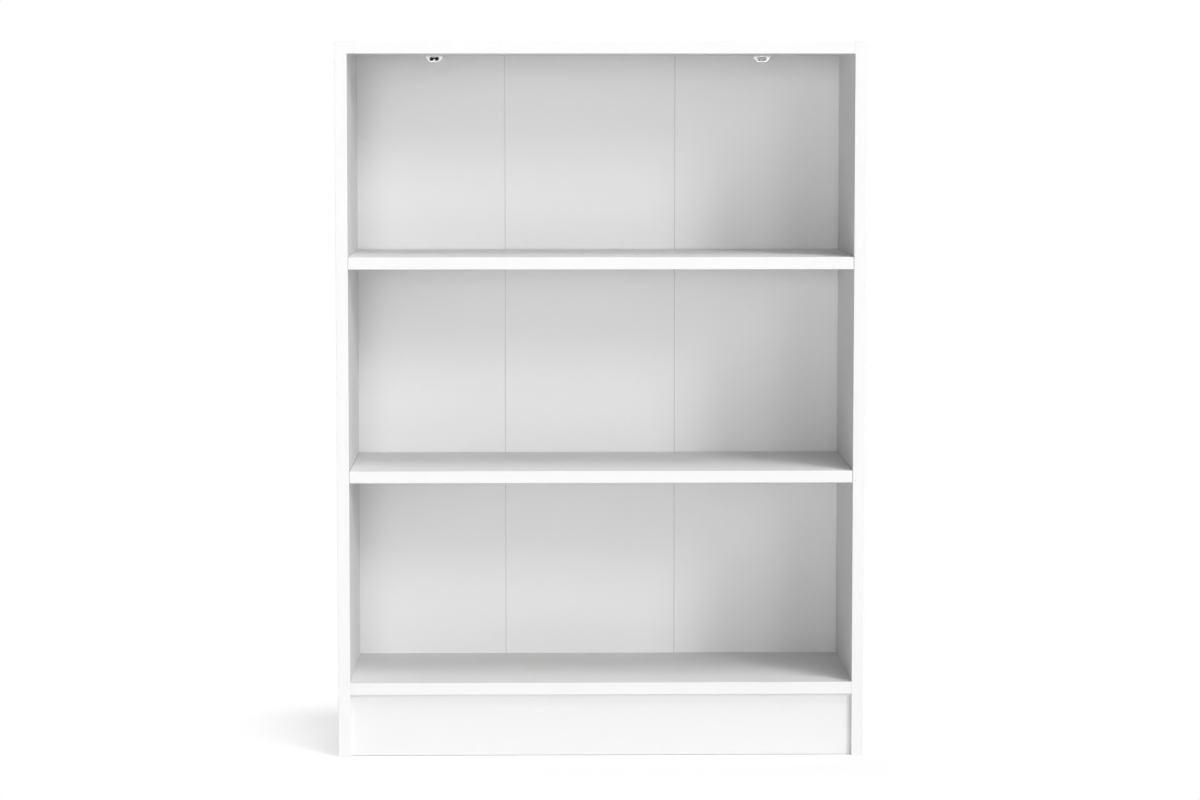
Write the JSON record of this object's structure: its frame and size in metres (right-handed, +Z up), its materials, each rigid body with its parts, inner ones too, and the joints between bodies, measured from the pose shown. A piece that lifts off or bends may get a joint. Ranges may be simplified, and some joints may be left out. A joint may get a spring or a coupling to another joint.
{
  "type": "low open bookcase",
  "caption": "Low open bookcase in white-faced board: sides, top, bottom and recessed plinth on cam locks, loose shelves on pins, a folding back in grooves and wall brackets.",
  "frame": {"origin": "on the floor, under the middle of the case", "axes": "+X to the right seen from the front, +Y from the front to the rear, +Z up"},
  "size_m": [0.79, 0.28, 1.072],
  "materials": {
    "white_board": "white melamine foil on particle board, raw at the hidden edges",
    "white_edging": "white edge band, satin",
    "back_board": "thin fibreboard, white lacquer in front and raw brown behind",
    "hinge_tape": "pale paper tape",
    "cast_zinc": "die-cast zinc, dull",
    "plated_steel": "zinc-plated steel",
    "dowel_beech": "pale bare beech",
    "black_rubber": "black rubber",
    "pale_rubber": "pale grey rubber"
  },
  "bodies": {
    "case": {"left_side": "white_board", "right_side": "white_board", "top_panel": "white_board", "bottom_panel": "white_board", "plinth": "white_board", "left_side_front_edging": "white_edging", "right_side_front_edging": "white_edging", "left_side_top_edging": "white_edging", "right_side_top_edging": "white_edging", "top_panel_edging": "white_edging", "bottom_panel_edging": "white_edging", "back_leaf_left": "back_board", "back_leaf_centre": "back_board", "back_leaf_right": "back_board", "back_hinge_tape_left": "hinge_tape", "back_hinge_tape_right": "hinge_tape", "top_cam_nuts": "cast_zinc", "bottom_cam_nuts": "cast_zinc", "plinth_cam_nuts": "cast_zinc", "top_cam_bolts": "plated_steel", "bottom_cam_bolts": "plated_steel", "plinth_cam_bolts": "plated_steel", "bracket_screws": "plated_steel", "wall_bracket_left": "plated_steel", "wall_bracket_right": "plated_steel", "lower_shelf_pins": "plated_steel", "upper_shelf_pins": "plated_steel", "top_dowels": "dowel_beech", "bottom_dowels": "dowel_beech", "plinth_dowels": "dowel_beech", "bracket_pad_left": "black_rubber", "bracket_pad_right": "pale_rubber"},
    "lower_shelf": {"lower_shelf": "white_board", "lower_shelf_edging": "white_edging"},
    "upper_shelf": {"upper_shelf": "white_board", "upper_shelf_edging": "white_edging"}
  },
  "joints": [
    {"name": "lower_shelf_pull", "type": "slide", "parent": "case", "child": "lower_shelf", "axis": [0, -1, 0], "range_m": [0, 0.28]},
    {"name": "upper_shelf_pull", "type": "slide", "parent": "case", "child": "upper_shelf", "axis": [0, -1, 0], "range_m": [0, 0.28]}
  ]
}
